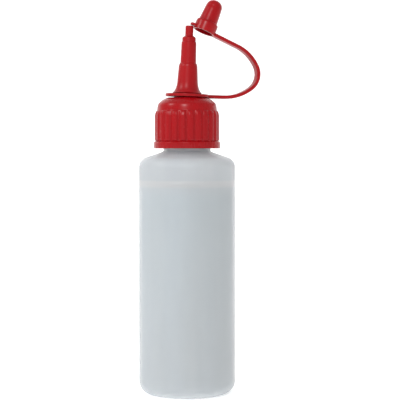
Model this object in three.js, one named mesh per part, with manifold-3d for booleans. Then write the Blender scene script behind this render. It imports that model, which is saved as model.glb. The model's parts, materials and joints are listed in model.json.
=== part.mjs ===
// Glue applicator bottle: a 100 ml squeeze bottle, a spout clamped on its neck by a ribbed screw cap, and a
// tip cap tethered by a strap to a ring that turns round the spout's foot. Millimetres, +Z up, the origin at
// the centre of the base. The tip cap is off, held open over the tip by its strap.
import * as THREE from "three";
import { mergeVertices } from "three/addons/utils/BufferGeometryUtils.js";
import Module from "manifold-3d";

const wasm = await Module();
wasm.setup();

// ---------------------------------------------------------------- driving dimensions

const CLEARANCE = 0.3; // gap between pieces that rest on each other or slide past
const WIDE_FACETS = 40; // facets round the bottle and the screw cap
const SLIM_FACETS = 28; // facets round the spout, the ring and the tip cap
const ARC_FACETS = 4; // facets in a rounded corner

const BODY = { radius: 20, wall: 1.0, floor: 1.4, footRound: 5.2, shoulderRound: 4.3, shoulderHeight: 97.4 };
const SHOULDER_SLOPE = THREE.MathUtils.degToRad(18.7);
const HEADROOM = 11.7; // from the foot of the shoulder down to the glue

const NECK = { radius: 9.75, wall: 1.15, height: 15.1, rootRound: 0.8 };
const THREAD = { pitch: 3.18, turns: 1.25, ridge: 0.95, depth: 1.1, firstAbove: 4.6, stepsPerTurn: 24 };

const CAP = { height: 20.8, sideWall: 1.7, topWall: 1.85, topRound: 4.2, topDraft: 0.75 };
const CAP_RIM = { height: 2.6, proud: 0.4, edgeRound: 0.4, slope: 0.5 };
const CAP_LIFT = 1.3; // how far the cap's rim stands above the root of the neck
const RIB = { count: 24, radius: 1.15, proud: 0.55, top: 15.2, endTaper: 0.7, endHeight: 0.9 };

const SPOUT = { footRadius: 6.9, wall: 1.3, plugLength: 5, plugWall: 1.1, hatTop: 1.4, brimInset: 0.15 };
const SPOUT_LEAN = THREE.MathUtils.degToRad(2.0); // the soft spout leans to +X above the cap
const NOZZLE = { beadRadius: 6.1, coneRadius: 4.3, coneFoot: 6.6, coneTop: 13.3, coneTaper: 0.43 };
const FLARE = { bulge: 0.35, height: 1.2, steps: 6 }; // how the bead runs up into the cone
const CONE_STEP = { inset: 0.15, height: 0.8 }; // the rounded end of the cone below the shaft
const SHAFT = { radius: 3.26, taper: 0.18, foot: 14.9, top: 23.3, chamfer: 0.17 };
const TIP = { collarRadius: 2.78, collarHeight: 1.7, radius: 1.65, length: 4.2, rootRound: 0.4, round: 0.35 };
const TIP_BORE = { radius: 0.9, funnel: 1 };

const RING = { width: 3.2, thickness: 1.2, grip: 0.3 };

const STRAP = { width: 4.0, thickness: 1.5, rise: THREE.MathUtils.degToRad(1), root: 0.6, step: 1.6 };
const STRAP_BENDS = [
  { length: 7.3, turn: 0 },
  { length: 13.1, turn: 37.6 },
  { length: 10.4, turn: 80.6 },
  { length: 12.0, turn: 39 },
];
const STRAP_RETURN = 23.86; // from the last bend back to the spout's axis, past the tip cap
const STRAP_SWIVEL = THREE.MathUtils.degToRad(20); // where the strap points, from +X towards +Y
const FLEX_PLACES = [1, 14, 26, 38]; // where the strap flexes, measured along it from the ring
const END_FLEX = 2; // where it flexes last, measured back from the tip cap

const TIP_CAP = { slack: 0.64, wall: 0.8, collarHeight: 4.4, collarRound: 0.5, length: 14.2 };
const BARREL = { wall: 0.87, draft: 0.6, domeRound: 2.88, steps: 6 };
const TIP_CAP_BORE = { mouthDepth: 3.4, mouthSlope: 1, throatEnd: 2.2, endWall: 1.6, endRun: 0.6, endRise: 0.9 };
const LUG = { reach: 1.9, width: 3.4, thickness: 1.1, lift: 0.4, round: 1 };

// ---------------------------------------------------------------- sizes that follow from them

const neckRoot = BODY.shoulderHeight + (BODY.radius - NECK.radius) * Math.tan(SHOULDER_SLOPE);
const neckTop = neckRoot + NECK.height;
const neckBore = NECK.radius - NECK.wall;
const capFoot = neckRoot + CAP_LIFT;
const capTop = capFoot + CAP.height;
const capCeiling = capTop - CAP.topWall;
const capBore = NECK.radius + THREAD.depth + CLEARANCE;
const capWaist = capBore + CAP.sideWall;
const capRim = capWaist + RIB.proud + CAP_RIM.proud;
const capHole = SPOUT.footRadius + CLEARANCE;
const brimFoot = neckTop + CLEARANCE;
const brimRadius = NECK.radius - SPOUT.brimInset;
const hatHeight = capCeiling - CLEARANCE;
const ringInner = NOZZLE.beadRadius - RING.grip;
const ringOuter = ringInner + RING.width;
const grooveFloor = ringInner - CLEARANCE;
const crownEdge = capWaist - CAP.topRound;
const ringFoot = CLEARANCE + Math.max(ringOuter, crownEdge) * Math.sin(SPOUT_LEAN);
const beadFoot = ringFoot + RING.thickness + CLEARANCE;
const tipFoot = SHAFT.top + SHAFT.chamfer + TIP.collarHeight;
const tipTop = tipFoot + TIP.collarRadius - TIP.radius - TIP.rootRound + TIP.length;
const mouth = SHAFT.radius + TIP_CAP.slack;
const mouthRim = mouth + TIP_CAP.wall;
const throat = TIP.collarRadius + CLEARANCE;
const strapBends = [...STRAP_BENDS, { length: STRAP_RETURN - 2 * mouthRim - SHAFT.radius, turn: 0 }];
const strapLength = strapBends.reduce((sum, bend) => sum + bend.length, 0);
const flexPlaces = [...FLEX_PLACES, strapLength - END_FLEX];

// ---------------------------------------------------------------- shape helpers

// Rounds the corners of an outline. Each corner is [radius, height] or [radius, height, rounding].
function rounded(corners, steps = ARC_FACETS) {
  const points = [];
  corners.forEach(([x, y, round = 0], i) => {
    const here = new THREE.Vector2(x, y);
    if (!round) {
      points.push(here);
      return;
    }
    const before = new THREE.Vector2(...corners[i - 1].slice(0, 2)).sub(here).normalize();
    const after = new THREE.Vector2(...corners[i + 1].slice(0, 2)).sub(here).normalize();
    const half = Math.acos(THREE.MathUtils.clamp(before.dot(after), -1, 1)) / 2;
    const start = here.clone().addScaledVector(before, round / Math.tan(half));
    const end = here.clone().addScaledVector(after, round / Math.tan(half));
    const middle = before.clone().add(after).normalize();
    const centre = here.clone().addScaledVector(middle, round / Math.sin(half));
    const from = start.clone().sub(centre).angle();
    let sweep = end.clone().sub(centre).angle() - from;
    if (sweep > Math.PI) sweep -= 2 * Math.PI;
    if (sweep < -Math.PI) sweep += 2 * Math.PI;
    for (let k = 0; k <= steps; k += 1) {
      const angle = from + (sweep * k) / steps;
      points.push(new THREE.Vector2(centre.x + round * Math.cos(angle), centre.y + round * Math.sin(angle)));
    }
  });
  return points;
}

// Turns an outline, listed bottom to top on the outside, into a solid of revolution about +Z.
function turned(points, facets) {
  return new THREE.LatheGeometry(points, facets).rotateX(Math.PI / 2);
}

// A closed mesh as a solid that can be joined and cut.
function solid(geometry) {
  const bare = geometry.index ? geometry.toNonIndexed() : geometry.clone();
  bare.deleteAttribute("normal");
  bare.deleteAttribute("uv");
  const merged = mergeVertices(bare, 1e-4);
  return new wasm.Manifold(
    new wasm.Mesh({
      numProp: 3,
      vertProperties: merged.getAttribute("position").array,
      triVerts: new Uint32Array(merged.index.array),
    }),
  );
}

// A solid back as three.js geometry.
function geometryOf(made) {
  const mesh = made.getMesh();
  const geometry = new THREE.BufferGeometry();
  geometry.setAttribute("position", new THREE.BufferAttribute(mesh.vertProperties, 3));
  geometry.setIndex(new THREE.BufferAttribute(mesh.triVerts, 1));
  geometry.computeVertexNormals();
  return geometry;
}

function piece(name, geometry, material) {
  const mesh = new THREE.Mesh(geometry, material);
  mesh.name = name;
  return mesh;
}

// A right-handed thread ridge: a round bar on a helix, half sunk in the wall that carries it.
class Helix extends THREE.Curve {
  constructor(radius, foot, turns) {
    super();
    Object.assign(this, { radius, foot, turns });
  }

  getPoint(t, target = new THREE.Vector3()) {
    const angle = 2 * Math.PI * this.turns * t;
    const height = this.foot + THREAD.pitch * this.turns * t;
    return target.set(this.radius * Math.cos(angle), this.radius * Math.sin(angle), height);
  }
}

function threadRidge(radius, foot) {
  const section = new THREE.Shape();
  section.absarc(0, 0, THREAD.ridge, 0, 2 * Math.PI);
  const steps = Math.round(THREAD.turns * THREAD.stepsPerTurn);
  const path = new Helix(radius, foot, THREAD.turns);
  return new THREE.ExtrudeGeometry(section, { steps, curveSegments: ARC_FACETS, extrudePath: path });
}

// ---------------------------------------------------------------- the bottle and what is in it

function bottle() {
  const { radius, wall, floor, footRound, shoulderRound, shoulderHeight } = BODY;
  const innerShoulder = shoulderHeight - wall * Math.tan((Math.PI / 2 - SHOULDER_SLOPE) / 2);
  const innerRoot = innerShoulder + (radius - wall - neckBore) * Math.tan(SHOULDER_SLOPE);
  const outline = rounded([
    [0, 0],
    [radius, 0, footRound],
    [radius, shoulderHeight, shoulderRound],
    [NECK.radius, neckRoot, NECK.rootRound],
    [NECK.radius, neckTop],
    [neckBore, neckTop],
    [neckBore, innerRoot],
    [radius - wall, innerShoulder, shoulderRound - wall],
    [radius - wall, floor, footRound - wall],
    [0, floor],
  ]);
  const shell = solid(turned(outline, WIDE_FACETS));
  const ridgeRadius = NECK.radius + THREAD.depth - THREAD.ridge;
  const ridge = solid(threadRidge(ridgeRadius, neckRoot + THREAD.firstAbove));
  return geometryOf(shell.add(ridge));
}

function glueFill() {
  const inset = BODY.wall + CLEARANCE;
  const floor = BODY.floor + CLEARANCE;
  const level = BODY.shoulderHeight - HEADROOM;
  const outline = rounded([
    [0, floor],
    [BODY.radius - inset, floor, BODY.footRound - inset],
    [BODY.radius - inset, level],
    [0, level],
  ]);
  return turned(outline, WIDE_FACETS);
}

// ---------------------------------------------------------------- the screw cap

function capRibs() {
  const section = new THREE.Shape();
  section.absarc(0, 0, RIB.radius, 0, 2 * Math.PI);
  const height = RIB.top - CAP_RIM.height / 2;
  const bar = new THREE.ExtrudeGeometry(section, {
    depth: height,
    steps: 1,
    curveSegments: ARC_FACETS,
    bevelThickness: RIB.endHeight,
    bevelSize: RIB.endTaper,
    bevelOffset: -RIB.endTaper,
    bevelSegments: 2,
  });
  return Array.from({ length: RIB.count }, (_, i) => {
    const angle = ((i + 0.5) / RIB.count) * 2 * Math.PI;
    const reach = capWaist + RIB.proud - RIB.radius;
    const place = new THREE.Matrix4()
      .makeRotationZ(angle)
      .multiply(new THREE.Matrix4().makeTranslation(reach, 0, capFoot + CAP_RIM.height / 2));
    return solid(bar.clone().applyMatrix4(place));
  });
}

function screwCap() {
  const crownBore = brimRadius + CLEARANCE;
  const outline = rounded([
    [capBore, capFoot],
    [capRim, capFoot],
    [capRim, capFoot + CAP_RIM.height, CAP_RIM.edgeRound],
    [capWaist, capFoot + CAP_RIM.height + CAP_RIM.slope],
    [capWaist, capFoot + RIB.top],
    [capWaist - CAP.topDraft, capTop, CAP.topRound],
    [capHole, capTop],
    [capHole, capCeiling],
    [crownBore, capCeiling],
    [crownBore, neckTop],
    [capBore, neckTop - (capBore - crownBore)],
    [capBore, capFoot],
  ]);
  const shell = solid(turned(outline, WIDE_FACETS));
  const ribs = capRibs().reduce((all, rib) => all.add(rib));
  const core = solid(turned(boreCore(crownBore), WIDE_FACETS));
  const ridgeRadius = capBore - THREAD.depth + THREAD.ridge + CLEARANCE / 3;
  const ridgeFoot = neckRoot + THREAD.firstAbove + THREAD.pitch / 2;
  const ridge = solid(threadRidge(ridgeRadius, ridgeFoot));
  return geometryOf(shell.add(ribs.subtract(core)).add(ridge));
}

// The hollow of the cap as a solid, so that the ribs' inner sides stay out of it.
function boreCore(crownBore) {
  return [
    new THREE.Vector2(0, capFoot),
    new THREE.Vector2(capBore + CLEARANCE, capFoot),
    new THREE.Vector2(capBore + CLEARANCE, neckTop - (capBore - crownBore)),
    new THREE.Vector2(crownBore + CLEARANCE, neckTop),
    new THREE.Vector2(crownBore + CLEARANCE, capCeiling),
    new THREE.Vector2(0, capCeiling),
  ];
}

// ---------------------------------------------------------------- the spout

// The part that the cap clamps: a plug in the neck, a brim on the neck's lip, a hat under the cap's
// ceiling and the foot that stands up through the cap's hole.
function spoutFoot() {
  const plugRadius = neckBore - CLEARANCE;
  const plugBore = plugRadius - SPOUT.plugWall;
  const hatBore = brimRadius - SPOUT.wall;
  return turned(
    rounded([
      [plugBore, brimFoot - SPOUT.plugLength],
      [plugRadius, brimFoot - SPOUT.plugLength],
      [plugRadius, brimFoot],
      [brimRadius, brimFoot],
      [brimRadius, hatHeight],
      [SPOUT.footRadius, hatHeight],
      [SPOUT.footRadius, capTop + CLEARANCE / 2],
      [nozzleBore(0), capTop + CLEARANCE / 2],
      [nozzleBore(0), hatHeight - SPOUT.hatTop],
      [hatBore, hatHeight - SPOUT.hatTop],
      [hatBore, brimFoot + SPOUT.wall],
      [plugBore, brimFoot + SPOUT.wall],
      [plugBore, brimFoot - SPOUT.plugLength],
    ]),
    SLIM_FACETS,
  );
}

// The radius of the glue's way through the nozzle, at a height above the cap.
function nozzleBore(height) {
  const wide = NOZZLE.coneRadius - SPOUT.wall;
  const narrow = SHAFT.radius - SPOUT.wall;
  return THREE.MathUtils.mapLinear(Math.min(height, SHAFT.foot), 0, SHAFT.foot, wide, narrow);
}

// The part above the cap: a groove for the ring, a bead, a flared cone, a shaft and the tip.
function nozzle() {
  const { beadRadius, coneRadius, coneFoot, coneTop, coneTaper } = NOZZLE;
  const flare = new THREE.QuadraticBezierCurve(
    new THREE.Vector2(beadRadius, beadFoot),
    new THREE.Vector2(coneRadius + FLARE.bulge, beadFoot + FLARE.height),
    new THREE.Vector2(coneRadius, coneFoot),
  ).getPoints(FLARE.steps);
  const coneEnd = coneRadius - coneTaper;
  const shaftEnd = SHAFT.radius - SHAFT.taper;
  const collarFoot = SHAFT.top + SHAFT.chamfer;
  const neckIn = TIP.collarRadius - TIP.radius;
  const outline = [
    new THREE.Vector2(nozzleBore(0), 0),
    new THREE.Vector2(grooveFloor, 0),
    new THREE.Vector2(grooveFloor, beadFoot),
    ...flare,
    ...rounded([
      [coneEnd, coneTop],
      [coneEnd - CONE_STEP.inset, coneTop + CONE_STEP.height],
      [SHAFT.radius, SHAFT.foot],
      [shaftEnd, SHAFT.top],
      [TIP.collarRadius, collarFoot],
      [TIP.collarRadius, tipFoot],
      [TIP.radius, tipFoot + neckIn - TIP.rootRound, TIP.rootRound],
      [TIP.radius, tipTop, TIP.round],
      [TIP_BORE.radius, tipTop],
      [TIP_BORE.radius, tipFoot],
      [shaftEnd - SPOUT.wall, collarFoot - TIP_BORE.funnel],
      [nozzleBore(SHAFT.foot), SHAFT.foot],
      [nozzleBore(0), 0],
    ]),
  ];
  return turned(outline, SLIM_FACETS);
}

// Places geometry that is drawn about the spout's own axis, from the top of the cap.
const spoutFrame = new THREE.Matrix4()
  .makeTranslation(0, 0, capTop)
  .multiply(new THREE.Matrix4().makeRotationY(SPOUT_LEAN));

function spout() {
  const upper = nozzle().applyMatrix4(spoutFrame);
  return geometryOf(solid(spoutFoot()).add(solid(upper)));
}

// ---------------------------------------------------------------- the tether

// The strap's centre line in its own plane, x out from the spout's axis and y up it, at a length along it.
function strapPoint(along) {
  let [x, y, angle] = [ringOuter, ringFoot + RING.thickness - STRAP.thickness / 2, STRAP.rise];
  let left = along;
  for (const { length, turn } of strapBends) {
    const run = Math.min(left, length);
    const swept = THREE.MathUtils.degToRad(turn) * (run / length);
    const chord = swept ? (Math.sin(swept / 2) / (swept / 2)) * run : run;
    x += chord * Math.cos(angle + swept / 2);
    y += chord * Math.sin(angle + swept / 2);
    angle += swept;
    left -= run;
  }
  return { x: x + left * Math.cos(angle), y: y + left * Math.sin(angle), angle };
}

// A stretch of the strap between two lengths along it, as a flat band.
function strapStretch(from, to) {
  const steps = Math.max(2, Math.round((to - from) / STRAP.step));
  const edge = (side) =>
    Array.from({ length: steps + 1 }, (_, i) => {
      const { x, y, angle } = strapPoint(from + ((to - from) * i) / steps);
      const offset = (side * STRAP.thickness) / 2;
      return new THREE.Vector2(x - offset * Math.sin(angle), y + offset * Math.cos(angle));
    });
  const outline = new THREE.Shape([...edge(-1), ...edge(1).reverse()]);
  const band = new THREE.ExtrudeGeometry(outline, { depth: STRAP.width, bevelEnabled: false, steps: 1 });
  return band.translate(0, 0, -STRAP.width / 2).rotateX(Math.PI / 2);
}

function tetherRing() {
  const outline = rounded([
    [ringInner, ringFoot],
    [ringOuter, ringFoot],
    [ringOuter, ringFoot + RING.thickness],
    [ringInner, ringFoot + RING.thickness],
    [ringInner, ringFoot],
  ]);
  const ring = solid(turned(outline, SLIM_FACETS));
  const root = solid(strapStretch(-STRAP.root, flexPlaces[0] - CLEARANCE / 2));
  return geometryOf(ring.add(root));
}

// ---------------------------------------------------------------- the tip cap

function tipCapShell() {
  const { collarHeight, collarRound, length } = TIP_CAP;
  const { mouthDepth, mouthSlope, throatEnd, endWall, endRun, endRise } = TIP_CAP_BORE;
  const barrelFoot = throat + BARREL.wall;
  const barrelTop = barrelFoot - BARREL.draft;
  return turned(
    rounded(
      [
        [mouth, 0],
        [mouthRim, 0],
        [mouthRim, collarHeight, collarRound],
        [barrelFoot, collarHeight],
        [barrelTop, length, BARREL.domeRound],
        [0, length],
        [0, length - endWall],
        [throatEnd - endRun, length - endWall],
        [throatEnd, length - endWall - endRise],
        [throat, mouthDepth + mouthSlope],
        [mouth, mouthDepth],
        [mouth, 0],
      ],
      BARREL.steps,
    ),
    SLIM_FACETS,
  );
}

// The thumb lug on the collar, across from the strap.
function thumbLug() {
  const inner = (mouth + mouthRim) / 2;
  const outer = mouthRim + LUG.reach;
  const plate = new THREE.Shape();
  plate.moveTo(-inner, -LUG.width / 2);
  plate.lineTo(-inner, LUG.width / 2);
  plate.lineTo(-outer + LUG.round, LUG.width / 2);
  plate.absellipse(-outer + LUG.round, 0, LUG.round, LUG.width / 2, Math.PI / 2, (3 * Math.PI) / 2);
  plate.closePath();
  const geometry = new THREE.ExtrudeGeometry(plate, {
    depth: LUG.thickness,
    bevelEnabled: false,
    curveSegments: ARC_FACETS,
  });
  return geometry.translate(0, 0, LUG.lift);
}

// Places geometry that is drawn about the tip cap's own axis, from its mouth, at the strap's end.
function tipCapFrame() {
  const end = strapPoint(strapLength);
  const tilt = Math.PI - end.angle;
  const drop = STRAP.thickness / 2;
  const x = end.x - mouthRim * Math.cos(tilt) - drop * Math.sin(tilt);
  const z = end.y + mouthRim * Math.sin(tilt) - drop * Math.cos(tilt);
  return new THREE.Matrix4().makeTranslation(x, 0, z).multiply(new THREE.Matrix4().makeRotationY(tilt));
}

function tipCap() {
  const frame = tipCapFrame();
  const shell = solid(tipCapShell().applyMatrix4(frame));
  const lug = solid(thumbLug().applyMatrix4(frame));
  const lastFold = strapLength - END_FLEX;
  const root = solid(strapStretch(lastFold + CLEARANCE / 2, strapLength + TIP_CAP.wall / 2));
  return geometryOf(shell.add(lug).add(root));
}

// ---------------------------------------------------------------- materials and assembly

const clearPolyethylene = new THREE.MeshStandardMaterial({
  color: 0xc9cfd3,
  roughness: 0.38,
  metalness: 0,
  transparent: true,
  opacity: 0.75,
});
const glue = new THREE.MeshStandardMaterial({ color: 0xd3d6d8, roughness: 0.2, metalness: 0 });
const redPolyethylene = new THREE.MeshStandardMaterial({ color: 0xb81a22, roughness: 0.32, metalness: 0 });

const model = new THREE.Group();
model.add(piece("bottle", bottle(), clearPolyethylene));
model.add(piece("glue_fill", glueFill(), glue));
model.add(piece("screw_cap", screwCap(), redPolyethylene));
model.add(piece("spout", spout(), redPolyethylene));

const tether = new THREE.Group();
tether.applyMatrix4(spoutFrame);
tether.rotateZ(STRAP_SWIVEL);
tether.add(piece("tether_ring", tetherRing(), redPolyethylene));
for (let i = 0; i + 1 < flexPlaces.length; i += 1) {
  const gap = CLEARANCE / 2;
  const stretch = strapStretch(flexPlaces[i] + gap, flexPlaces[i + 1] - gap);
  tether.add(piece(`strap_${i + 1}`, stretch, redPolyethylene));
}
tether.add(piece("tip_cap", tipCap(), redPolyethylene));
model.add(tether);

export default model;
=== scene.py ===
"""Looks of a craft glue bottle: the bottle, its glue, a ribbed screw cap, a spout and a tethered tip cap.

Sizes inside the classes are in millimetres, and meshes are written in metres, in the part's own frame.
"""

import json
import logging
import math
from dataclasses import dataclass, field
from enum import Enum
from typing import Any, Callable, Sequence

import bmesh
import bpy
from mathutils import Matrix, Vector

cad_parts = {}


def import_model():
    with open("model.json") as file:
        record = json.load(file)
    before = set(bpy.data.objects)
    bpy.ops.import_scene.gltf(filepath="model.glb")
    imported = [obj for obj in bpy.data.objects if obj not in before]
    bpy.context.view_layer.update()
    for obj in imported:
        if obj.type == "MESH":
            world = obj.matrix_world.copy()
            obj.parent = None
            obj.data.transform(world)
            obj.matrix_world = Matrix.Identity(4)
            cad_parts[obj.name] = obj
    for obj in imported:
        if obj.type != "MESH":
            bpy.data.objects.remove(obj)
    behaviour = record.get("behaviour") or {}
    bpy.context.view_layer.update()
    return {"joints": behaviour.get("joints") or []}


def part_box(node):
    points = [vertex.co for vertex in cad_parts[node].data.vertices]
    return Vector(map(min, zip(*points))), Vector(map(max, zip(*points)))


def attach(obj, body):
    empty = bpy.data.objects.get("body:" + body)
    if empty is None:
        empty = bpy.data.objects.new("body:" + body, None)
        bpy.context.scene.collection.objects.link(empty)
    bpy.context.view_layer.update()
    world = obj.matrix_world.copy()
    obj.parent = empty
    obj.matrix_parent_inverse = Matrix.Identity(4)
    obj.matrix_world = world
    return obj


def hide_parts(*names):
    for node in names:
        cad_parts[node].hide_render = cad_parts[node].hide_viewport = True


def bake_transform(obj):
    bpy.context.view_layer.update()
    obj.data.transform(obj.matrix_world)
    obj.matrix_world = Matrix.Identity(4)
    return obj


LOG = logging.getLogger("glue_bottle")
MM = 0.001
BRIM_INSET = 0.15  # the spout's brim ends this far inside the neck's radius
CAP_TOP_WALL = 1.85
Corner = tuple[float, ...]
Point = tuple[float, float]
Colour = tuple[float, float, float, float]


class Body(Enum):
    """The bodies that pieces ride on."""

    BOTTLE = "bottle"
    SPOUT = "spout"
    SCREW_CAP = "screw_cap"
    RING = "tether_ring"
    STRAP_1 = "strap_1"
    STRAP_2 = "strap_2"
    STRAP_3 = "strap_3"
    STRAP_4 = "strap_4"
    TIP_CAP = "tip_cap"


class Slot(Enum):
    """The record's material slots."""

    WALL = "clear_polyethylene"
    GLUE = "glue"
    CAP = "red_cap"
    SPOUT = "red_spout"
    TETHER = "red_tether"


# ---------------------------------------------------------------- shader graph


class Channel:
    """One output of a shader node, used in arithmetic that adds its Math nodes."""

    def __init__(self, graph: "Graph", socket: bpy.types.NodeSocket) -> None:
        """Wraps a socket of a graph."""
        self.graph = graph
        self.socket = socket

    def _math(self, operation: str, first: Any, second: Any) -> "Channel":
        """Adds one Math node of two values."""
        return self.graph.add("ShaderNodeMath", {"operation": operation}, {0: first, 1: second})

    def __add__(self, other: Any) -> "Channel":
        """Returns self + other."""
        return self._math("ADD", self, other)

    __radd__ = __add__

    def __sub__(self, other: Any) -> "Channel":
        """Returns self - other."""
        return self._math("SUBTRACT", self, other)

    def __rsub__(self, other: Any) -> "Channel":
        """Returns other - self."""
        return self._math("SUBTRACT", other, self)

    def __mul__(self, other: Any) -> "Channel":
        """Returns self * other."""
        return self._math("MULTIPLY", self, other)

    __rmul__ = __mul__

    def __truediv__(self, other: Any) -> "Channel":
        """Returns self / other."""
        return self._math("DIVIDE", self, other)

    def __abs__(self) -> "Channel":
        """Returns the absolute value."""
        return self.graph.add("ShaderNodeMath", {"operation": "ABSOLUTE"}, {0: self})


class Graph:
    """A material's node tree, built by plain calls."""

    def __init__(self, name: str) -> None:
        """Starts an empty material.

        Args:
            name: the material's name.
        """
        self.material = bpy.data.materials.new(name)
        self.material.use_nodes = True
        self.tree = self.material.node_tree
        self.tree.nodes.clear()
        self.place = self.add("ShaderNodeTexCoord", output="Object")

    def add(
        self,
        kind: str,
        settings: dict[str, Any] | None = None,
        inputs: dict[Any, Any] | None = None,
        output: int | str = 0,
    ) -> Channel:
        """Adds a node, with its settings first and then its inputs.

        Args:
            kind: the node's type.
            settings: properties of the node; "stops" holds a ramp's places and greys.
            inputs: values or channels by socket name or number.
            output: the output to return.

        Returns:
            The output as a channel.
        """
        node = self.tree.nodes.new(kind)
        for key, value in (settings or {}).items():
            if key == "stops":
                self._stops(node, value)
            else:
                setattr(node, key, value)
        for key, value in (inputs or {}).items():
            if isinstance(value, Channel):
                self.tree.links.new(value.socket, node.inputs[key])
            else:
                node.inputs[key].default_value = value
        return Channel(self, node.outputs[output]) if node.outputs else Channel(self, node.inputs[0])

    @staticmethod
    def _stops(node: bpy.types.Node, stops: Sequence[Point]) -> None:
        """Sets a colour ramp's stops as greys."""
        ramp = node.color_ramp
        while len(ramp.elements) < len(stops):
            ramp.elements.new(0.5)
        for element, (place, grey) in zip(ramp.elements, stops):
            element.position = place
            element.color = (grey, grey, grey, 1.0)

    def noise(self, size: float, detail: float = 2.0, stretch: Sequence[float] = (1.0, 1.0, 1.0)) -> Channel:
        """Adds noise whose lumps have a real size.

        Args:
            size: the lumps' size in millimetres.
            detail: octaves of detail.
            stretch: how the place is scaled along X, Y and Z.

        Returns:
            Noise from 0 to 1.
        """
        scaled = self.add(
            "ShaderNodeVectorMath", {"operation": "MULTIPLY"}, {0: self.place, 1: tuple(stretch)}
        )
        scale = 1.0 / (size * MM)
        return self.add("ShaderNodeTexNoise", {}, {"Vector": scaled, "Scale": scale, "Detail": detail})

    def axis(self, name: str) -> Channel:
        """Returns one coordinate of the place, in metres."""
        return self.add("ShaderNodeSeparateXYZ", {}, {0: self.place}, name)

    def ramp(self, value: Channel, stops: Sequence[Point]) -> Channel:
        """Returns a value passed through a smooth grey ramp."""
        return self.add("ShaderNodeValToRGB", {"stops": stops}, {0: value})

    def blend(self, mask: Channel, first: Any, second: Any) -> Channel:
        """Returns a colour mixed from first to second by a mask."""
        return self.add("ShaderNodeMix", {"data_type": "RGBA"}, {0: mask, 6: first, 7: second}, 2)

    def bump(self, height: Channel, depth: float, strength: float) -> Channel:
        """Returns a normal bumped by a height.

        Args:
            height: height from 0 to 1.
            depth: the height of 1, in millimetres.
            strength: the bump's strength.

        Returns:
            The normal.
        """
        return self.add(
            "ShaderNodeBump", {}, {"Strength": strength, "Distance": depth * MM, "Height": height}
        )

    def surface(self, inputs: dict[str, Any]) -> bpy.types.Material:
        """Closes the graph with one Principled shader and returns the material."""
        shader = self.add("ShaderNodeBsdfPrincipled", {}, inputs)
        self.add("ShaderNodeOutputMaterial", {}, {"Surface": shader})
        return self.material


@dataclass(frozen=True)
class MouldedRed:
    """Glossy injection-moulded red polyethylene."""

    name: str
    colour: Colour = (0.335, 0.0015, 0.0045, 1.0)
    deep: Colour = (0.25, 0.0010, 0.0032, 1.0)
    roughness: float = 0.22
    grain: float = 0.30
    flow: tuple[float, float, float] = (1.0, 1.0, 0.18)

    def material(self) -> bpy.types.Material:
        """Returns the finish with flow marks, soft waviness and fine grain."""
        g = Graph(self.name)
        clouds = g.ramp(g.noise(9.0, 3.0, self.flow), [(0.35, 0.0), (0.72, 1.0)])
        grain = g.noise(self.grain, 2.0)
        waves = g.noise(2.6, 2.0, self.flow)
        scuffs = g.ramp(g.noise(1.1, 4.0, (1.0, 1.0, 0.5)), [(0.60, 0.0), (0.74, 1.0)])
        return g.surface(
            {
                "Base Color": g.blend(clouds * 0.55, self.colour, self.deep),
                "Roughness": self.roughness + waves * 0.10 + scuffs * 0.12,
                "Normal": g.bump(grain * 0.25 + waves * 0.75, 0.035, 0.55),
                "IOR": 1.51,
                "Specular IOR Level": 0.22,
                "Subsurface Weight": 0.10,
                "Subsurface Radius": (1.0, 0.12, 0.08),
                "Subsurface Scale": 0.0012,
            }
        )


@dataclass(frozen=True)
class NaturalWall:
    """Milky, uncoloured blow-moulded polyethylene that lets the contents show faintly."""

    level: float
    name: str = "natural_polyethylene"
    colour: Colour = (0.545, 0.60, 0.65, 1.0)
    pale: Colour = (0.60, 0.64, 0.67, 1.0)
    # painted light: a paler strip of wall just above the glue's level, standing in for the light that the
    # glue's surface catches
    painted_light_strip: Colour = (0.64, 0.66, 0.675, 1.0)
    painted_light_strip_height: float = 3.6
    # painted light: the neck's paler colour stands in for light shining through the plastic in the cap's
    # shade
    neck_painted_light: Colour = (0.74, 0.76, 0.78, 1.0)
    neck_foot: float = 101.5
    neck_fade: float = 2.0
    cover: float = 0.55
    neck_cover: float = 0.35
    roughness: float = 0.36
    seam_width: float = 0.22
    flow: tuple[float, float, float] = (1.0, 1.0, 0.12)

    def material(self) -> bpy.types.Material:
        """Returns the finish with clouds, draw lines, a seam, a strip of painted light just above the glue's
        level and a neck painted paler as painted light.
        """
        g = Graph(self.name)
        clouds = g.ramp(g.noise(22.0, 3.0, self.flow), [(0.30, 0.0), (0.75, 1.0)])
        draw = g.noise(1.6, 3.0, self.flow)
        peel = g.noise(0.55, 2.0)
        seam = g.ramp(abs(g.axis("Y")) / (self.seam_width * MM), [(0.0, 1.0), (1.0, 0.0)])
        height = g.axis("Z")
        up_neck = (height - self.neck_foot * MM) / (self.neck_fade * MM)
        neck = g.ramp(up_neck, [(0.0, 0.0), (1.0, 1.0)])
        # where the strip of painted light sits, just above the glue's level
        above = (height - self.level * MM) / (self.painted_light_strip_height * MM)
        painted_light_strip = g.ramp(above, [(0.0, 0.0), (0.3, 1.0), (0.8, 1.0), (1.0, 0.0)])
        wall = g.blend(clouds, self.colour, self.pale)
        wall_with_painted_strip = g.blend(painted_light_strip, wall, self.painted_light_strip)
        return g.surface(
            {
                # the neck mask paints the neck paler as painted light, and in Alpha it also raises the real
                # cover of the thicker neck
                "Base Color": g.blend(neck, wall_with_painted_strip, self.neck_painted_light),
                "Alpha": self.cover + clouds * 0.08 + seam * 0.10 + neck * self.neck_cover,
                "Roughness": self.roughness + draw * 0.10,
                "Normal": g.bump(draw * 0.5 + peel * 0.2 + seam * 0.8, 0.03, 0.35),
                "IOR": 1.51,
                "Subsurface Weight": 0.9,
                "Subsurface Radius": (1.0, 1.0, 1.0),
                "Subsurface Scale": 0.012,
            }
        )


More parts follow.
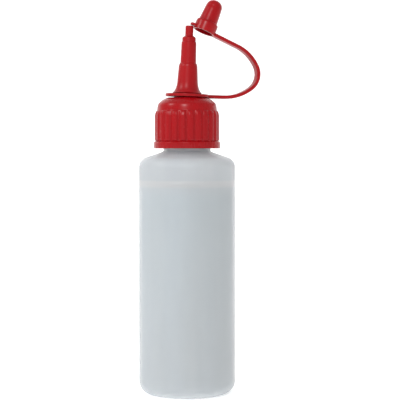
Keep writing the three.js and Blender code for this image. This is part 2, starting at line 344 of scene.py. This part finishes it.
@dataclass(frozen=True)
class GlueLook:
    """Cloudy glue with a white band of painted light just under its surface, where the surface catches the
    light.
    """

    level: float
    name: str = "glue"
    colour: Colour = (0.86, 0.95, 0.97, 1.0)
    # painted light: white band under the glue's surface, standing in for the light that the surface catches
    painted_light_band: Colour = (1.0, 1.0, 1.0, 1.0)
    deep: Colour = (0.98, 0.99, 0.98, 1.0)
    band_height: float = 3.4
    foot_fade: float = 70.0

    def material(self) -> bpy.types.Material:
        """Returns the finish, which grows a little paler towards the foot."""
        g = Graph(self.name)
        height = g.axis("Z")
        wisps = g.noise(12.0, 3.0)
        sunk = self.level * MM - height
        below = sunk / (self.band_height * MM)
        # the band of painted light, strongest at the surface and fading downwards
        painted_light_band = g.ramp(below + wisps * 0.08, [(0.0, 1.0), (0.45, 0.9), (1.0, 0.0)])
        depth = g.ramp(sunk / (self.foot_fade * MM), [(0.0, 0.0), (1.0, 1.0)])
        liquid = g.blend(depth * 0.85 + wisps * 0.15, self.colour, self.deep)
        return g.surface(
            {
                "Base Color": g.blend(painted_light_band, liquid, self.painted_light_band),
                "Roughness": 0.12 + wisps * 0.06,
                "Normal": g.bump(wisps, 0.05, 0.3),
                "IOR": 1.38,
            }
        )


@dataclass(frozen=True)
class StudioPaper:
    """Plain pale paper under and behind the object."""

    name: str = "studio_paper"
    colour: Colour = (0.93, 0.93, 0.93, 1.0)
    shade: Colour = (0.90, 0.90, 0.90, 1.0)

    def material(self) -> bpy.types.Material:
        """Returns matt paper with the faintest mottling."""
        g = Graph(self.name)
        mottle = g.noise(40.0, 2.0)
        return g.surface(
            {
                "Base Color": g.blend(mottle, self.colour, self.shade),
                "Roughness": 0.9,
                "Emission Color": (1.0, 1.0, 1.0, 1.0),
                "Emission Strength": 0.42,
            }
        )


# ---------------------------------------------------------------- meshes


def rounded(corners: Sequence[Corner], steps: int = 10) -> list[Point]:
    """Rounds the corners of an outline.

    Args:
        corners: radius, height and optional rounding of each corner.
        steps: steps in each rounded corner.

    Returns:
        The outline's points.
    """
    points: list[Point] = []
    for i, corner in enumerate(corners):
        here = Vector(corner[:2])
        size = corner[2] if len(corner) > 2 else 0.0
        if not size:
            points.append((here.x, here.y))
            continue
        before = (Vector(corners[i - 1][:2]) - here).normalized()
        after = (Vector(corners[i + 1][:2]) - here).normalized()
        half = math.acos(max(-1.0, min(1.0, before.dot(after)))) / 2
        start = here + before * (size / math.tan(half))
        end = here + after * (size / math.tan(half))
        centre = here + (before + after).normalized() * (size / math.sin(half))
        first = math.atan2(start.y - centre.y, start.x - centre.x)
        sweep = math.atan2(end.y - centre.y, end.x - centre.x) - first
        sweep = (sweep + math.pi) % (2 * math.pi) - math.pi
        for k in range(steps + 1):
            angle = first + sweep * k / steps
            points.append((centre.x + size * math.cos(angle), centre.y + size * math.sin(angle)))
    return points


def refined(points: Sequence[Point], longest: float) -> list[Point]:
    """Splits an outline's long runs so that no step is longer than a length."""
    out = [points[0]]
    for (x0, y0), (x1, y1) in zip(points, points[1:]):
        count = max(1, math.ceil(math.hypot(x1 - x0, y1 - y0) / longest))
        out += [(x0 + (x1 - x0) * k / count, y0 + (y1 - y0) * k / count) for k in range(1, count + 1)]
    return out


def mesh_object(
    name: str, vertices: Sequence[Vector], faces: Sequence[Sequence[int]], sharp: float
) -> bpy.types.Object:
    """Makes a closed, smooth-shaded object.

    Args:
        name: the object's name.
        vertices: places in millimetres.
        faces: vertex numbers of each face.
        sharp: the angle in degrees above which an edge stays sharp.

    Returns:
        The object, at the origin.
    """
    mesh = bpy.data.meshes.new(name)
    mesh.from_pydata([tuple(v * MM) for v in vertices], [], [tuple(f) for f in faces])
    work = bmesh.new()
    work.from_mesh(mesh)
    bmesh.ops.remove_doubles(work, verts=work.verts, dist=1e-7)
    bmesh.ops.recalc_face_normals(work, faces=work.faces)
    for face in work.faces:
        face.smooth = True
    work.to_mesh(mesh)
    work.free()
    mesh.set_sharp_from_angle(angle=math.radians(sharp))
    made = bpy.data.objects.new(name, mesh)
    bpy.context.scene.collection.objects.link(made)
    return made


def revolved(
    name: str,
    outline: Sequence[Point],
    facets: int,
    place: Callable[[Vector], Vector] | None = None,
    swell: Callable[[float, float, float], float] | None = None,
    sharp: float = 40.0,
) -> bpy.types.Object:
    """Turns an outline about +Z.

    Args:
        name: the object's name.
        outline: radius and height of each point, closed on itself or on the axis.
        facets: steps round the axis.
        place: where each point goes in the part's frame.
        swell: extra radius at an angle, radius and height.
        sharp: the angle above which an edge stays sharp.

    Returns:
        The object.
    """
    closed = math.dist(outline[0], outline[-1]) < 1e-6
    rows = list(outline[:-1]) if closed else list(outline)
    vertices: list[Vector] = []
    rings: list[list[int]] = []
    for radius, height in rows:
        if radius < 1e-6:
            vertices.append(Vector((0.0, 0.0, height)))
            rings.append([len(vertices) - 1] * facets)
            continue
        start = len(vertices)
        for j in range(facets):
            angle = 2 * math.pi * j / facets
            reach = radius + (swell(angle, radius, height) if swell else 0.0)
            vertices.append(Vector((reach * math.cos(angle), reach * math.sin(angle), height)))
        rings.append(list(range(start, start + facets)))
    pairs = list(zip(rings, rings[1:] + rings[:1])) if closed else list(zip(rings, rings[1:]))
    faces = []
    for low, high in pairs:
        for j in range(facets):
            k = (j + 1) % facets
            corners = [low[j], low[k], high[k], high[j]]
            face = list(dict.fromkeys(corners))
            if len(face) > 2:
                faces.append(face)
    moved = [place(v) for v in vertices] if place else vertices
    return mesh_object(name, moved, faces, sharp)


def swept(name: str, stations: Sequence[Sequence[Vector]], sharp: float = 40.0) -> bpy.types.Object:
    """Joins a row of equal loops into one closed tube.

    Args:
        name: the object's name.
        stations: the loops, each a list of places.
        sharp: the angle above which an edge stays sharp.

    Returns:
        The object.
    """
    count = len(stations[0])
    vertices = [v for loop in stations for v in loop]
    faces: list[list[int]] = []
    for i in range(len(stations) - 1):
        for j in range(count):
            k = (j + 1) % count
            faces.append([i * count + j, i * count + k, (i + 1) * count + k, (i + 1) * count + j])
    faces.append(list(range(count))[::-1])
    faces.append([(len(stations) - 1) * count + j for j in range(count)])
    return mesh_object(name, vertices, faces, sharp)


@dataclass(frozen=True)
class Thread:
    """The right-handed thread that the neck and the screw cap share."""

    pitch: float = 3.18
    turns: float = 1.25
    size: float = 0.95
    depth: float = 1.1
    above: float = 4.6
    flatness: float = 0.95
    steps_per_turn: int = 72
    steps_round: int = 12
    run_out: int = 9

    def ridge(self, name: str, radius: float, foot: float, inward: bool) -> bpy.types.Object:
        """Makes one ridge, whose ends run out into the wall.

        Args:
            name: the object's name.
            radius: the radius of the ridge's middle line.
            foot: the height where it starts.
            inward: whether the ridge points to the axis.

        Returns:
            The object.
        """
        steps = int(self.turns * self.steps_per_turn)
        loops = []
        for i in range(steps + 1):
            angle = 2 * math.pi * self.turns * i / steps
            end = min(1.0, min(i, steps - i) / self.run_out)
            sunk = self.size * (1.0 - end) * (1.0 if inward else -1.0)
            out = Vector((math.cos(angle), math.sin(angle), 0.0))
            climbed = foot + self.pitch * self.turns * i / steps
            middle = out * (radius + sunk) + Vector((0.0, 0.0, climbed))
            loop = []
            for j in range(self.steps_round):
                turn = 2 * math.pi * j / self.steps_round
                rise = self.size * self.flatness * math.sin(turn)
                loop.append(middle + out * (self.size * math.cos(turn)) + Vector((0.0, 0.0, rise)))
            loops.append(loop)
        return swept(name, loops)


def finish_piece(
    piece: bpy.types.Object, look: bpy.types.Material, body: Body, slot: Slot, *nodes: str
) -> None:
    """Dresses a piece and ties it to the frame.

    Args:
        piece: the object.
        look: its material.
        body: the body that it rides on.
        slot: the record's material slot; not used.
        nodes: the CAD nodes that it stands for.
    """
    piece.data.materials.append(look)
    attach(piece, body.value)
    if nodes:
        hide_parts(*nodes)
    LOG.info("%s rides on %s", piece.name, body.value)


# ---------------------------------------------------------------- the bottle and the glue


@dataclass
class Bottle:
    """The blow-moulded bottle with its threaded neck."""

    look: bpy.types.Material
    wall: float = 1.0
    floor: float = 1.4
    foot_round: float = 5.2
    shoulder_round: float = 4.3
    shoulder_slope: float = 18.7
    neck_radius: float = 9.75
    neck_wall: float = 1.15
    neck_height: float = 15.1
    neck_root_round: float = 0.8
    lip_round: float = 0.25
    thread: Thread = Thread()
    facets: int = 160
    radius: float = field(init=False)
    top: float = field(init=False)

    def __post_init__(self) -> None:
        """Takes the radius and the height from the frame."""
        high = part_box("bottle")[1]
        self.radius = high.x / MM
        self.top = high.z / MM

    @property
    def neck_root(self) -> float:
        """The height where the neck leaves the shoulder."""
        return self.top - self.neck_height

    def build(self) -> None:
        """Builds the shell and the thread."""
        slope = math.radians(self.shoulder_slope)
        shoulder = self.neck_root - (self.radius - self.neck_radius) * math.tan(slope)
        bore = self.neck_radius - self.neck_wall
        inner_shoulder = shoulder - self.wall * math.tan((math.pi / 2 - slope) / 2)
        inner = self.radius - self.wall
        outline = rounded(
            [
                (0, 0),
                (self.radius, 0, self.foot_round),
                (self.radius, shoulder, self.shoulder_round),
                (self.neck_radius, self.neck_root, self.neck_root_round),
                (self.neck_radius, self.top, self.lip_round),
                (bore, self.top, self.lip_round),
                (bore, inner_shoulder + (inner - bore) * math.tan(slope)),
                (inner, inner_shoulder, self.shoulder_round - self.wall),
                (inner, self.floor, self.foot_round - self.wall),
                (0, self.floor),
            ],
            14,
        )
        shell = revolved("bottle_shell", refined(outline, 6.0), self.facets)
        finish_piece(shell, self.look, Body.BOTTLE, Slot.WALL, "bottle")
        middle = self.neck_radius + self.thread.depth - self.thread.size
        ridge = self.thread.ridge("neck_thread", middle, self.neck_root + self.thread.above, False)
        finish_piece(ridge, self.look, Body.BOTTLE, Slot.WALL)


@dataclass
class Contents:
    """The glue, with the meniscus where it climbs the wall."""

    foot_round: float = 3.9
    climb: float = 0.7
    climb_width: float = 1.6
    facets: int = 144

    def build(self) -> None:
        """Builds the glue's body."""
        low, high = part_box("glue_fill")
        radius, foot, level = high.x / MM, low.z / MM, high.z / MM
        rise = [
            (radius - self.climb_width * (1 - t), level + self.climb * (t**2.2))
            for t in (1.0, 0.85, 0.7, 0.55, 0.4, 0.2, 0.0)
        ]
        corners = rounded([(0, foot), (radius, foot, self.foot_round), rise[0]], 12)
        body = revolved("glue_body", refined([*corners, *rise[1:], (0.0, level)], 5.0), self.facets)
        finish_piece(body, GlueLook(level + self.climb).material(), Body.BOTTLE, Slot.GLUE, "glue_fill")


# ---------------------------------------------------------------- the screw cap


@dataclass
class ScrewCap:
    """The ribbed cap with a rim at its foot and a domed crown."""

    look: bpy.types.Material
    neck_radius: float
    neck_top: float
    neck_root: float
    rim_height: float = 2.6
    rim_proud: float = 0.4
    rib_count: int = 24
    rib_proud: float = 0.55
    rib_top: float = 15.7
    rib_end: float = 1.7
    side_wall: float = 1.7
    top_wall: float = CAP_TOP_WALL
    hole_radius: float = 7.2
    steps_per_rib: int = 16
    thread: Thread = Thread()
    clearance: float = 0.3
    crown: tuple[Point, ...] = (
        (0.45, 16.3),
        (0.53, 17.0),
        (0.66, 17.75),
        (0.82, 18.3),
        (0.98, 18.62),
        (1.22, 18.86),
        (1.66, 19.28),
        (2.25, 19.78),
        (2.95, 20.26),
        (3.7, 20.66),
        (4.3, 20.94),
        (4.75, 21.05),
    )
    boss_height: float = 21.08
    low: float = field(init=False)
    high: float = field(init=False)

    def __post_init__(self) -> None:
        """Takes the heights from the frame."""
        low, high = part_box("screw_cap")
        self.low = low.z / MM
        self.high = high.z / MM

    @property
    def bore(self) -> float:
        """The radius of the cap's hollow over the thread."""
        return self.neck_radius + self.thread.depth + self.clearance

    @property
    def waist(self) -> float:
        """The radius between the ribs."""
        return self.bore + self.side_wall

    def rib(self, angle: float, radius: float, height: float) -> float:
        """Returns how far the ribs stand out at a place.

        Args:
            angle: the angle round the axis.
            radius: the plain radius there.
            height: the height there.

        Returns:
            The extra radius.
        """
        if radius < self.waist - 0.8 or height > self.low + self.rib_top + 0.2:
            return 0.0
        foot = self.low + self.rim_height
        if height < foot + 0.35:
            return 0.0
        top = (self.low + self.rib_top - height) / self.rib_end
        start = min(1.0, (height - foot - 0.35) / 0.4)
        end = math.sqrt(max(0.0, 1.0 - max(0.0, 1.0 - top) ** 2)) if top < 1.0 else 1.0
        wave = 0.5 - 0.5 * math.cos(self.rib_count * angle)
        across = math.sin(math.pi / 2 * min(1.0, wave * 1.35)) ** 0.85
        return self.rib_proud * across * end * start

    def build(self) -> None:
        """Builds the cap's body and its inner thread."""
        foot, top = self.low, self.high
        rim = self.waist + self.rib_proud + self.rim_proud
        inner = self.neck_radius - BRIM_INSET + self.clearance
        ceiling = top - self.top_wall
        side = [(self.waist, foot + self.rim_height + 0.5 + 0.3 * k) for k in range(40)]
        side = [p for p in side if p[1] < foot + self.rib_top - 2.2]
        near_end = [(self.waist - 0.016 * k, foot + self.rib_top - 2.1 + 0.09 * k) for k in range(26)]
        dome = [
            *((self.waist - inset, foot + height) for inset, height in self.crown),
            (self.hole_radius + 0.25, foot + self.boss_height),
            (self.hole_radius, top - 0.2),
        ]
        rim_corners = [(rim, foot, 0.15), (rim, foot + self.rim_height, 0.4)]
        head = rounded([(self.bore, foot), *rim_corners, side[0]], 6)
        hollow = rounded(
            [
                (self.hole_radius, ceiling),
                (inner, ceiling),
                (inner, self.neck_top),
                (self.bore, self.neck_top - (self.bore - inner)),
                (self.bore, foot),
            ]
        )
        outline = [*head, *side[1:], *near_end, *dome, *hollow]
        facets = self.rib_count * self.steps_per_rib
        cap = revolved("cap_body", outline, facets, swell=self.rib, sharp=50.0)
        finish_piece(cap, self.look, Body.SCREW_CAP, Slot.CAP, "screw_cap")
        middle = self.bore - self.thread.depth + self.thread.size + self.clearance / 3
        start = self.neck_root + self.thread.above + self.thread.pitch / 2
        ridge = self.thread.ridge("cap_thread", middle, start, True)
        finish_piece(ridge, self.look, Body.SCREW_CAP, Slot.CAP)


# ---------------------------------------------------------------- the spout


@dataclass
class Spout:
    """The spout: plug, brim and hat under the cap, and the leaning nozzle above it."""

    look: bpy.types.Material
    lean: Matrix
    neck_radius: float
    neck_top: float
    cap_top: float
    foot_radius: float = 6.9
    wall: float = 1.3
    plug_radius: float = 8.3
    plug_wall: float = 1.1
    plug_length: float = 5.0
    hat_top: float = 1.4
    groove_radius: float = 5.5
    bead_radius: float = 6.1
    bead_foot: float = 2.114
    cone_radius: float = 4.3
    shaft_radius: float = 3.26
    collar_radius: float = 2.78
    collar_foot: float = 23.47
    collar_top: float = 25.17
    tip_radius: float = 1.65
    tip_bore: float = 0.9
    facets: int = 96
    clearance: float = 0.3

    def place(self, point: Vector) -> Vector:
        """Leans what stands above the cap and leaves the rest upright."""
        above = point.z - self.cap_top
        if above <= 0.0:
            return point
        return self.lean @ Vector((point.x, point.y, above))

    def outside(self) -> list[Point]:
        """Returns the nozzle's outline from the groove to the tip, above the cap."""
        flare = []
        for k in range(15):
            t = k / 14
            a, b, c = (1 - t) ** 2, 2 * t * (1 - t), t * t
            radius = a * self.bead_radius + b * (self.cone_radius + 0.35) + c * self.cone_radius
            height = a * (self.bead_foot + 0.15) + b * (self.bead_foot + 1.2) + c * 6.6
            flare.append((radius, height))
        upper = rounded(
            [
                (self.cone_radius - 0.15, 9.0),
                (self.cone_radius - 0.43, 13.3, 0.6),
                (self.cone_radius - 0.62, 14.1, 0.35),
                (self.shaft_radius, 14.75, 0.25),
                (self.shaft_radius - 0.18, 23.25, 0.25),
                (self.collar_radius + 0.05, 23.5, 0.1),
                (self.collar_radius, self.collar_top, 0.3),
                (self.tip_radius + 0.02, self.collar_top + 0.75, 0.35),
                (self.tip_radius, self.tip_top, 0.35),
                (self.tip_bore, self.tip_top, 0.2),
                (self.tip_bore, self.collar_top),
            ],
            6,
        )
        return [(self.bead_radius - 0.15, self.bead_foot), *flare, *upper]

    @property
    def tip_top(self) -> float:
        """The height of the tip above the cap."""
        return self.collar_top + self.collar_radius - self.tip_radius - 0.4 + 4.2

    def build(self) -> None:
        """Builds the spout as one closed moulding."""
        brim_foot = self.neck_top + self.clearance
        hat = self.cap_top - CAP_TOP_WALL - self.clearance
        brim = self.neck_radius - BRIM_INSET
        plug_bore = self.plug_radius - self.plug_wall
        base = self.cap_top
        lower = rounded(
            [
                (plug_bore, brim_foot - self.plug_length),
                (self.plug_radius - 0.3, brim_foot - self.plug_length, 0.12),
                (self.plug_radius, brim_foot - self.plug_length + 0.9, 0.4),
                (self.plug_radius, brim_foot),
                (brim, brim_foot, 0.15),
                (brim, hat, 0.3),
                (self.foot_radius, hat, 0.2),
                (self.foot_radius, base - 0.05, 0.2),
                (self.groove_radius, base),
            ],
            5,
        )
        nozzle = [(radius, base + height) for radius, height in self.outside()]
        bore = [
            (self.shaft_radius - 0.18 - self.wall, base + self.collar_foot - 1.0),
            (self.shaft_radius - self.wall, base + 14.9),
            (self.cone_radius - self.wall, base),
            (self.cone_radius - self.wall, hat - self.hat_top),
            (brim - self.wall, hat - self.hat_top),
            (brim - self.wall, brim_foot + self.wall),
            (plug_bore, brim_foot + self.wall),
            (plug_bore, brim_foot - self.plug_length),
        ]
        groove = (self.groove_radius, base + self.bead_foot)
        outline = refined([*lower, groove, *nozzle, *bore], 2.5)
        spout = revolved("spout_body", outline, self.facets, place=self.place, sharp=48.0)
        finish_piece(spout, self.look, Body.SPOUT, Slot.SPOUT, "spout")


# ---------------------------------------------------------------- the tether


@dataclass
class Strap:
    """The flat strap, drawn in its own plane: x out from the spout's axis and y up it."""

    start: Point = (9.0, 1.064)
    rise: float = 1.0
    bends: tuple[Point, ...] = ((7.3, 0.0), (13.1, 37.6), (10.4, 80.6), (12.0, 39.0), (11.2, 0.0))
    width: float = 3.96
    thickness: float = 1.46
    edge_round: float = 0.42
    step: float = 0.45

    @property
    def length(self) -> float:
        """The strap's length."""
        return sum(run for run, _ in self.bends)

    def point(self, along: float) -> tuple[float, float, float]:
        """Returns x, y and the heading at a length along the strap."""
        (x, y), heading, left = self.start, math.radians(self.rise), along
        for run_length, turn in self.bends:
            run = min(left, run_length)
            swept_angle = math.radians(turn) * run / run_length
            half = swept_angle / 2
            chord = run * math.sin(half) / half if abs(half) > 1e-9 else run
            x += chord * math.cos(heading + half)
            y += chord * math.sin(heading + half)
            heading += swept_angle
            left -= run
        return x + left * math.cos(heading), y + left * math.sin(heading), heading

    def section(self) -> list[Point]:
        """Returns the strap's section: across its width, and through its thickness."""
        w, t, r = self.width / 2, self.thickness / 2, self.edge_round
        points = []
        corners = ((w - r, t - r, 0), (r - w, t - r, 90), (r - w, r - t, 180), (w - r, r - t, 270))
        for cx, cy, first in corners:
            for k in range(6):
                angle = math.radians(first + 90 * k / 5)
                points.append((cx + r * math.cos(angle), cy + r * math.sin(angle)))
        return points

    def stretch(self, name: str, first: float, last: float, plane: Matrix) -> bpy.types.Object:
        """Builds one stretch of the strap.

        Args:
            name: the object's name.
            first: where it starts, along the strap.
            last: where it ends.
            plane: the strap's plane in the part's frame, in millimetres.

        Returns:
            The object.
        """
        count = max(3, math.ceil((last - first) / self.step))
        loops = []
        for i in range(count + 1):
            x, y, heading = self.point(first + (last - first) * i / count)
            loop = []
            for across, through in self.section():
                local_x = x - through * math.sin(heading)
                local_z = y + through * math.cos(heading)
                loop.append(plane @ Vector((local_x, across, local_z)))
            loops.append(loop)
        return swept(name, loops, 50.0)


@dataclass
class TipCap:
    """The tip cap: a stepped collar, a domed barrel and a thumb lug."""

    look: bpy.types.Material
    frame: Matrix
    mouth: float = 3.9
    collar_radius: float = 4.7
    collar_height: float = 4.4
    barrel_foot: float = 3.95
    barrel_top: float = 3.35
    length: float = 14.17
    facets: int = 96
    lug_reach: float = 1.9
    lug_width: float = 3.4
    lug_thickness: float = 1.1
    lug_lift: float = 0.4

    def build(self) -> None:
        """Builds the shell and the lug."""
        outline = rounded(
            [
                (self.mouth, 0),
                (self.mouth + 0.15, 0),
                (self.collar_radius, 0, 0.18),
                (self.collar_radius, self.collar_height - 0.7, 0.3),
                (self.collar_radius - 0.22, self.collar_height, 0.3),
                (self.barrel_foot, self.collar_height + 0.06, 0.12),
                (self.barrel_top + 0.1, 11.1),
                (self.barrel_top + 0.02, 11.25),
                (self.barrel_top - 0.03, self.length, 2.9),
                (0, self.length),
                (0, self.length - 1.6),
                (1.6, self.length - 1.6),
                (2.2, self.length - 2.5),
                (3.08, 4.4),
                (self.mouth, 3.4),
                (self.mouth, 0),
            ],
            12,
        )
        shell = revolved("tip_cap_shell", refined(outline, 1.6), self.facets, place=self.put, sharp=45.0)
        finish_piece(shell, self.look, Body.TIP_CAP, Slot.TETHER, "tip_cap")
        finish_piece(self.lug(), self.look, Body.TIP_CAP, Slot.TETHER)

    def put(self, point: Vector) -> Vector:
        """Places a point of the cap's own frame."""
        return self.frame @ point

    def lug(self) -> bpy.types.Object:
        """Builds the thumb lug with rounded edges."""
        half = self.lug_width / 2
        tip = self.collar_radius + self.lug_reach
        inner = self.mouth + 0.35
        plan = [(-inner, -half), (-inner, half)]
        for k in range(1, 14):
            angle = math.pi / 2 + math.pi * k / 14
            plan.append((-(tip - 1.0) + math.cos(angle), half * math.sin(angle)))
        centre = Vector((-(inner + tip) / 2, 0.0))
        top = self.lug_thickness
        lower_edge = ((0.35, 0.0), (0.1, 0.08), (0.0, 0.3))
        upper_edge = [(inset, top - height) for inset, height in reversed(lower_edge)]
        loops = []
        for inset, height in (*lower_edge, *upper_edge):
            loop = []
            for x, y in plan:
                away = Vector((x, y)) - centre
                pulled = centre + away * (1 - inset / max(away.length, inset + 0.1))
                loop.append(self.put(Vector((pulled.x, pulled.y, self.lug_lift + height))))
            loops.append(loop)
        return swept("tip_cap_lug", loops, 60.0)


@dataclass
class Tether:
    """The ring round the spout's foot, the strap in curved stretches, and the tip cap."""

    look: bpy.types.Material
    plane: Matrix
    ring_inner: float = 5.8
    ring_outer: float = 9.0
    ring_foot: float = 0.614
    ring_thickness: float = 1.2
    edge_round: float = 0.18
    flex_places: tuple[float, ...] = (1.0, 14.0, 26.0, 38.0, 52.0)
    splits: tuple[float, ...] = (-0.7, 7.5, 20.0, 32.0, 45.0, 54.4)
    reach: float = 5.5
    cap_drop: float = 0.75
    strap: Strap = field(default_factory=Strap)

    def build(self) -> None:
        """Builds the ring, the strap and the tip cap."""
        low, high = self.ring_foot, self.ring_foot + self.ring_thickness
        soft = self.edge_round
        outline = rounded(
            [
                (self.ring_inner, (low + high) / 2),
                (self.ring_inner, low, soft),
                (self.ring_outer, low, soft),
                (self.ring_outer, high, soft),
                (self.ring_inner, high, soft),
                (self.ring_inner, (low + high) / 2),
            ],
            5,
        )
        ring = revolved("ring_body", outline, 120, place=self.put, sharp=50.0)
        finish_piece(ring, self.look, Body.RING, Slot.TETHER, "tether_ring")
        self.build_strap()
        TipCap(self.look, self.plane @ self.cap_place()).build()

    def put(self, point: Vector) -> Vector:
        """Places a point of the tether's own frame."""
        return self.plane @ point

    def cap_place(self) -> Matrix:
        """Returns the tip cap's place at the strap's end, in the tether's frame."""
        x, y, heading = self.strap.point(self.strap.length)
        tilt = math.pi - heading
        reach, drop = TipCap.collar_radius, self.cap_drop
        across = x - reach * math.cos(tilt) - drop * math.sin(tilt)
        up = y + reach * math.sin(tilt) - drop * math.cos(tilt)
        return Matrix.Translation((across, 0.0, up)) @ Matrix.Rotation(tilt, 4, "Y")

    def middle(self, along: float) -> Vector:
        """Returns a point of the strap's middle line in the part's frame, in metres."""
        x, y, _ = self.strap.point(along)
        return self.plane @ Vector((x, 0.0, y)) * MM

    def build_strap(self) -> None:
        """Builds one stretch of the strap round each fold and hides the strap node that it stands for, where
        there is one.
        """
        chain = [Body.RING, Body.STRAP_1, Body.STRAP_2, Body.STRAP_3, Body.STRAP_4, Body.TIP_CAP]
        stands_for = [[], ["strap_1"], ["strap_2"], ["strap_3"], ["strap_4"]]
        for i, place in enumerate(self.flex_places):
            first, last = self.splits[i], self.splits[i + 1]
            piece = self.strap.stretch(f"strap_bend_{i + 1}", first, last, self.plane)
            piece.data.materials.append(self.look)
            start = self.middle(max(first, place - self.reach, 0.0))
            end = self.middle(min(last, place + self.reach, self.strap.length))
            chain[i + 1].value
            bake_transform(piece)
            if stands_for[i]:
                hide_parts(*stands_for[i])
            LOG.info("%s bends from %s to %s", piece.name, chain[i].value, chain[i + 1].value)


# ---------------------------------------------------------------- the studio


@dataclass
class Studio:
    """A pale sweep, two soft lights, an even sky and the camera."""

    distance: float = 0.604
    camera_side: float = 0.0054
    camera_height: float = 0.1023
    pitch: float = 2.05
    lens: float = 130.5
    sky: float = 0.62
    sweep_back: float = 1.6
    sweep_radius: float = 0.7
    sweep_half: float = 2.6

    def build(self) -> None:
        """Builds the floor, the lights and the camera."""
        self.sweep()
        self.light("key_light", (-1.25, -0.42, 0.95), 0.36, 6.5)
        self.light("front_light", (-0.25, -1.35, 0.85), 0.28, 8.0)
        world = bpy.data.worlds.new("even_sky")
        world.use_nodes = True
        shade = world.node_tree.nodes["Background"]
        shade.inputs["Color"].default_value = (1.0, 1.0, 1.0, 1.0)
        shade.inputs["Strength"].default_value = self.sky
        scene = bpy.context.scene
        scene.world = world
        scene.view_settings.view_transform = "Standard"
        lens = bpy.data.cameras.new("camera")
        lens.lens = self.lens
        lens.sensor_width = 36.0
        lens.clip_start = 0.01
        camera = bpy.data.objects.new("camera", lens)
        camera.location = (self.camera_side, -self.distance, self.camera_height)
        camera.rotation_euler = (math.radians(90 - self.pitch), 0.0, 0.0)
        scene.collection.objects.link(camera)
        scene.camera = camera

    def sweep(self) -> None:
        """Builds the floor, which curves up into a backdrop."""
        rows = [(-2.5, 0.0), (self.sweep_back - self.sweep_radius, 0.0)]
        for k in range(1, 17):
            angle = math.pi / 2 * k / 16
            away = self.sweep_back - self.sweep_radius + self.sweep_radius * math.sin(angle)
            rows.append((away, self.sweep_radius * (1 - math.cos(angle))))
        rows.append((self.sweep_back, 2.2))
        mesh = bpy.data.meshes.new("studio_sweep")
        points = [(side * self.sweep_half, y, z) for y, z in rows for side in (-1, 1)]
        faces = [(2 * i, 2 * i + 1, 2 * i + 3, 2 * i + 2) for i in range(len(rows) - 1)]
        mesh.from_pydata(points, [], faces)
        mesh.shade_smooth()
        mesh.materials.append(StudioPaper().material())
        sweep = bpy.data.objects.new("studio_sweep", mesh)
        bpy.context.scene.collection.objects.link(sweep)

    def light(self, name: str, place: Sequence[float], size: float, power: float) -> None:
        """Adds one soft square light aimed at the object.

        Args:
            name: the light's name.
            place: where it stands, in metres.
            size: its side, in metres.
            power: its power in watts.
        """
        lamp = bpy.data.lights.new(name, "AREA")
        lamp.size = size
        lamp.energy = power
        made = bpy.data.objects.new(name, lamp)
        made.location = place
        aim = Vector((0.0, 0.0, 0.1)) - Vector(place)
        made.rotation_euler = aim.to_track_quat("-Z", "Y").to_euler()
        bpy.context.scene.collection.objects.link(made)


def tether_plane(joints: Sequence[dict[str, Any]]) -> Matrix:
    """Returns the strap's plane in millimetres, from the frame's joints.

    Args:
        joints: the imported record's joints.

    Returns:
        A matrix with x out along the strap, y across it and z up the spout.
    """
    by_name = {joint["name"]: joint for joint in joints}
    swivel, flex = by_name["tether_swivel"], by_name["strap_flex"]
    up = Vector(swivel["axis"]).normalized()
    across = Vector(flex["axis"]).normalized()
    out = across.cross(up).normalized()
    origin = Vector(swivel["pos_m"]) / MM
    turn = Matrix((out, up.cross(out), up)).transposed().to_4x4()
    return Matrix.Translation(origin) @ turn


def spout_lean(joints: Sequence[dict[str, Any]]) -> Matrix:
    """Returns the leaning spout's frame in millimetres, from the swivel's axis."""
    swivel = next(joint for joint in joints if joint["name"] == "tether_swivel")
    axis = Vector(swivel["axis"]).normalized()
    lean = math.atan2(axis.x, axis.z)
    return Matrix.Translation(Vector(swivel["pos_m"]) / MM) @ Matrix.Rotation(lean, 4, "Y")


def main() -> None:
    """Builds the object and the studio."""
    logging.basicConfig(level=logging.INFO, format="%(name)s: %(message)s")
    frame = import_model()
    bottle = Bottle(NaturalWall(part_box("glue_fill")[1].z / MM).material())
    bottle.build()
    Contents().build()
    cap_red = MouldedRed("red_cap").material()
    cap = ScrewCap(cap_red, bottle.neck_radius, bottle.top, bottle.neck_root)
    cap.build()
    lean = spout_lean(frame["joints"])
    spout_red = MouldedRed("red_spout", roughness=0.31).material()
    Spout(spout_red, lean, bottle.neck_radius, bottle.top, cap.high).build()
    tether_red = MouldedRed("red_tether", roughness=0.25, flow=(1.0, 1.0, 1.0)).material()
    Tether(tether_red, tether_plane(frame["joints"])).build()
    Studio().build()


if __name__ == "__main__":
    main()
